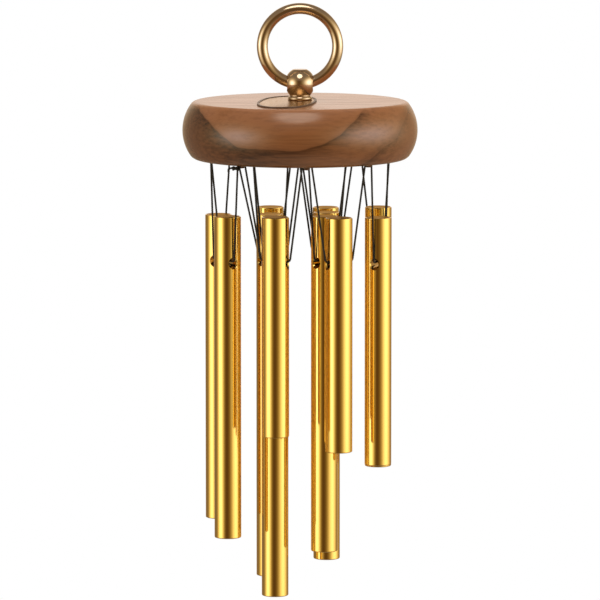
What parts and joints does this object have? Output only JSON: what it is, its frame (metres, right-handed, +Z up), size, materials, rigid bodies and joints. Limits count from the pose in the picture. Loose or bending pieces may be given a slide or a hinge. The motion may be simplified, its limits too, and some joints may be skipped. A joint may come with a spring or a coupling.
{
  "type": "hand chime",
  "caption": "Hand chime of gold-coloured solid metal bars in graded lengths, laced on cords under a round turned wooden disc that swings from a brass ring.",
  "frame": {"origin": "hanging point, inside the top of the ring, midway through its wire", "axes": "+Z up along the chime's axis, the ring stands in the XZ plane, and the pictured side faces -Y"},
  "size_m": [0.0832, 0.0832, 0.21],
  "materials": {
    "brass": "polished",
    "steel": "zinc plated",
    "wood": "satin varnish",
    "peg_wood": "bare",
    "gold_bar": "polished, gold anodised",
    "cord": "twisted synthetic"
  },
  "bodies": {
    "ring": {"hang_ring": "brass"},
    "disc": {"wooden_disc": "wood", "ring_post": "brass", "post_washer": "steel", "post_nut": "steel", "cord_peg_01": "peg_wood", "cord_peg_02": "peg_wood", "cord_peg_03": "peg_wood", "cord_peg_04": "peg_wood", "cord_peg_05": "peg_wood", "cord_peg_06": "peg_wood", "cord_peg_07": "peg_wood", "cord_peg_08": "peg_wood", "cord_peg_09": "peg_wood", "cord_peg_10": "peg_wood", "cord_peg_11": "peg_wood", "cord_peg_12": "peg_wood", "cord_bight_01": "cord", "cord_bight_02": "cord", "cord_bight_03": "cord", "cord_bight_04": "cord", "cord_bight_05": "cord", "cord_bight_06": "cord", "cord_bight_07": "cord", "cord_bight_08": "cord", "cord_bight_09": "cord", "cord_bight_10": "cord", "cord_bight_11": "cord", "cord_bight_12": "cord"},
    "bar_01": {"chime_bar_01": "gold_bar", "bar_cord_01": "cord"},
    "bar_02": {"chime_bar_02": "gold_bar", "bar_cord_02": "cord"},
    "bar_03": {"chime_bar_03": "gold_bar", "bar_cord_03": "cord"},
    "bar_04": {"chime_bar_04": "gold_bar", "bar_cord_04": "cord"},
    "bar_05": {"chime_bar_05": "gold_bar", "bar_cord_05": "cord"},
    "bar_06": {"chime_bar_06": "gold_bar", "bar_cord_06": "cord"},
    "bar_07": {"chime_bar_07": "gold_bar", "bar_cord_07": "cord"},
    "bar_08": {"chime_bar_08": "gold_bar", "bar_cord_08": "cord"},
    "bar_09": {"chime_bar_09": "gold_bar", "bar_cord_09": "cord"},
    "bar_10": {"chime_bar_10": "gold_bar", "bar_cord_10": "cord"},
    "bar_11": {"chime_bar_11": "gold_bar", "bar_cord_11": "cord"},
    "bar_12": {"chime_bar_12": "gold_bar", "bar_cord_12": "cord"}
  },
  "joints": [
    {"name": "ring_swing", "type": "hinge", "parent": "ring", "child": "disc", "pos_m": [0, 0, -0.02424], "axis": [1, 0, 0], "range_deg": [-97, 97]},
    {"name": "bar_01_swing", "type": "hinge", "parent": "disc", "child": "bar_01", "pos_m": [-0.00925, -0.02829, -0.05149], "axis": [-0.9505, 0.3107, 0], "range_deg": [-3, 60]},
    {"name": "bar_02_swing", "type": "hinge", "parent": "disc", "child": "bar_02", "pos_m": [0.01347, -0.02654, -0.05149], "axis": [-0.8918, -0.4524, 0], "range_deg": [-3, 60]},
    {"name": "bar_03_swing", "type": "hinge", "parent": "disc", "child": "bar_03", "pos_m": [0.02829, -0.00925, -0.05149], "axis": [-0.3107, -0.9505, 0], "range_deg": [-3, 60]},
    {"name": "bar_04_swing", "type": "hinge", "parent": "disc", "child": "bar_04", "pos_m": [0.02654, 0.01347, -0.05149], "axis": [0.4524, -0.8918, 0], "range_deg": [-3, 60]},
    {"name": "bar_05_swing", "type": "hinge", "parent": "disc", "child": "bar_05", "pos_m": [0.00925, 0.02829, -0.05149], "axis": [0.9505, -0.3107, 0], "range_deg": [-3, 60]},
    {"name": "bar_06_swing", "type": "hinge", "parent": "disc", "child": "bar_06", "pos_m": [-0.01347, 0.02654, -0.05149], "axis": [0.8918, 0.4524, 0], "range_deg": [-3, 60]},
    {"name": "bar_07_swing", "type": "hinge", "parent": "disc", "child": "bar_07", "pos_m": [-0.02829, 0.00925, -0.05149], "axis": [0.3107, 0.9505, 0], "range_deg": [-3, 60]},
    {"name": "bar_08_swing", "type": "hinge", "parent": "disc", "child": "bar_08", "pos_m": [-0.02654, -0.01347, -0.05149], "axis": [-0.4524, 0.8918, 0], "range_deg": [-3, 60]},
    {"name": "bar_09_swing", "type": "hinge", "parent": "disc", "child": "bar_09", "pos_m": [0.00979, -0.00839, -0.05149], "axis": [-0.6508, -0.7593, 0], "range_deg": [-1.5, 4]},
    {"name": "bar_10_swing", "type": "hinge", "parent": "disc", "child": "bar_10", "pos_m": [0.00839, 0.00979, -0.05149], "axis": [0.7593, -0.6508, 0], "range_deg": [-1.5, 4]},
    {"name": "bar_11_swing", "type": "hinge", "parent": "disc", "child": "bar_11", "pos_m": [-0.00979, 0.00839, -0.05149], "axis": [0.6508, 0.7593, 0], "range_deg": [-1.5, 4]},
    {"name": "bar_12_swing", "type": "hinge", "parent": "disc", "child": "bar_12", "pos_m": [-0.00839, -0.00979, -0.05149], "axis": [-0.7593, 0.6508, 0], "range_deg": [-1.5, 4]}
  ]
}
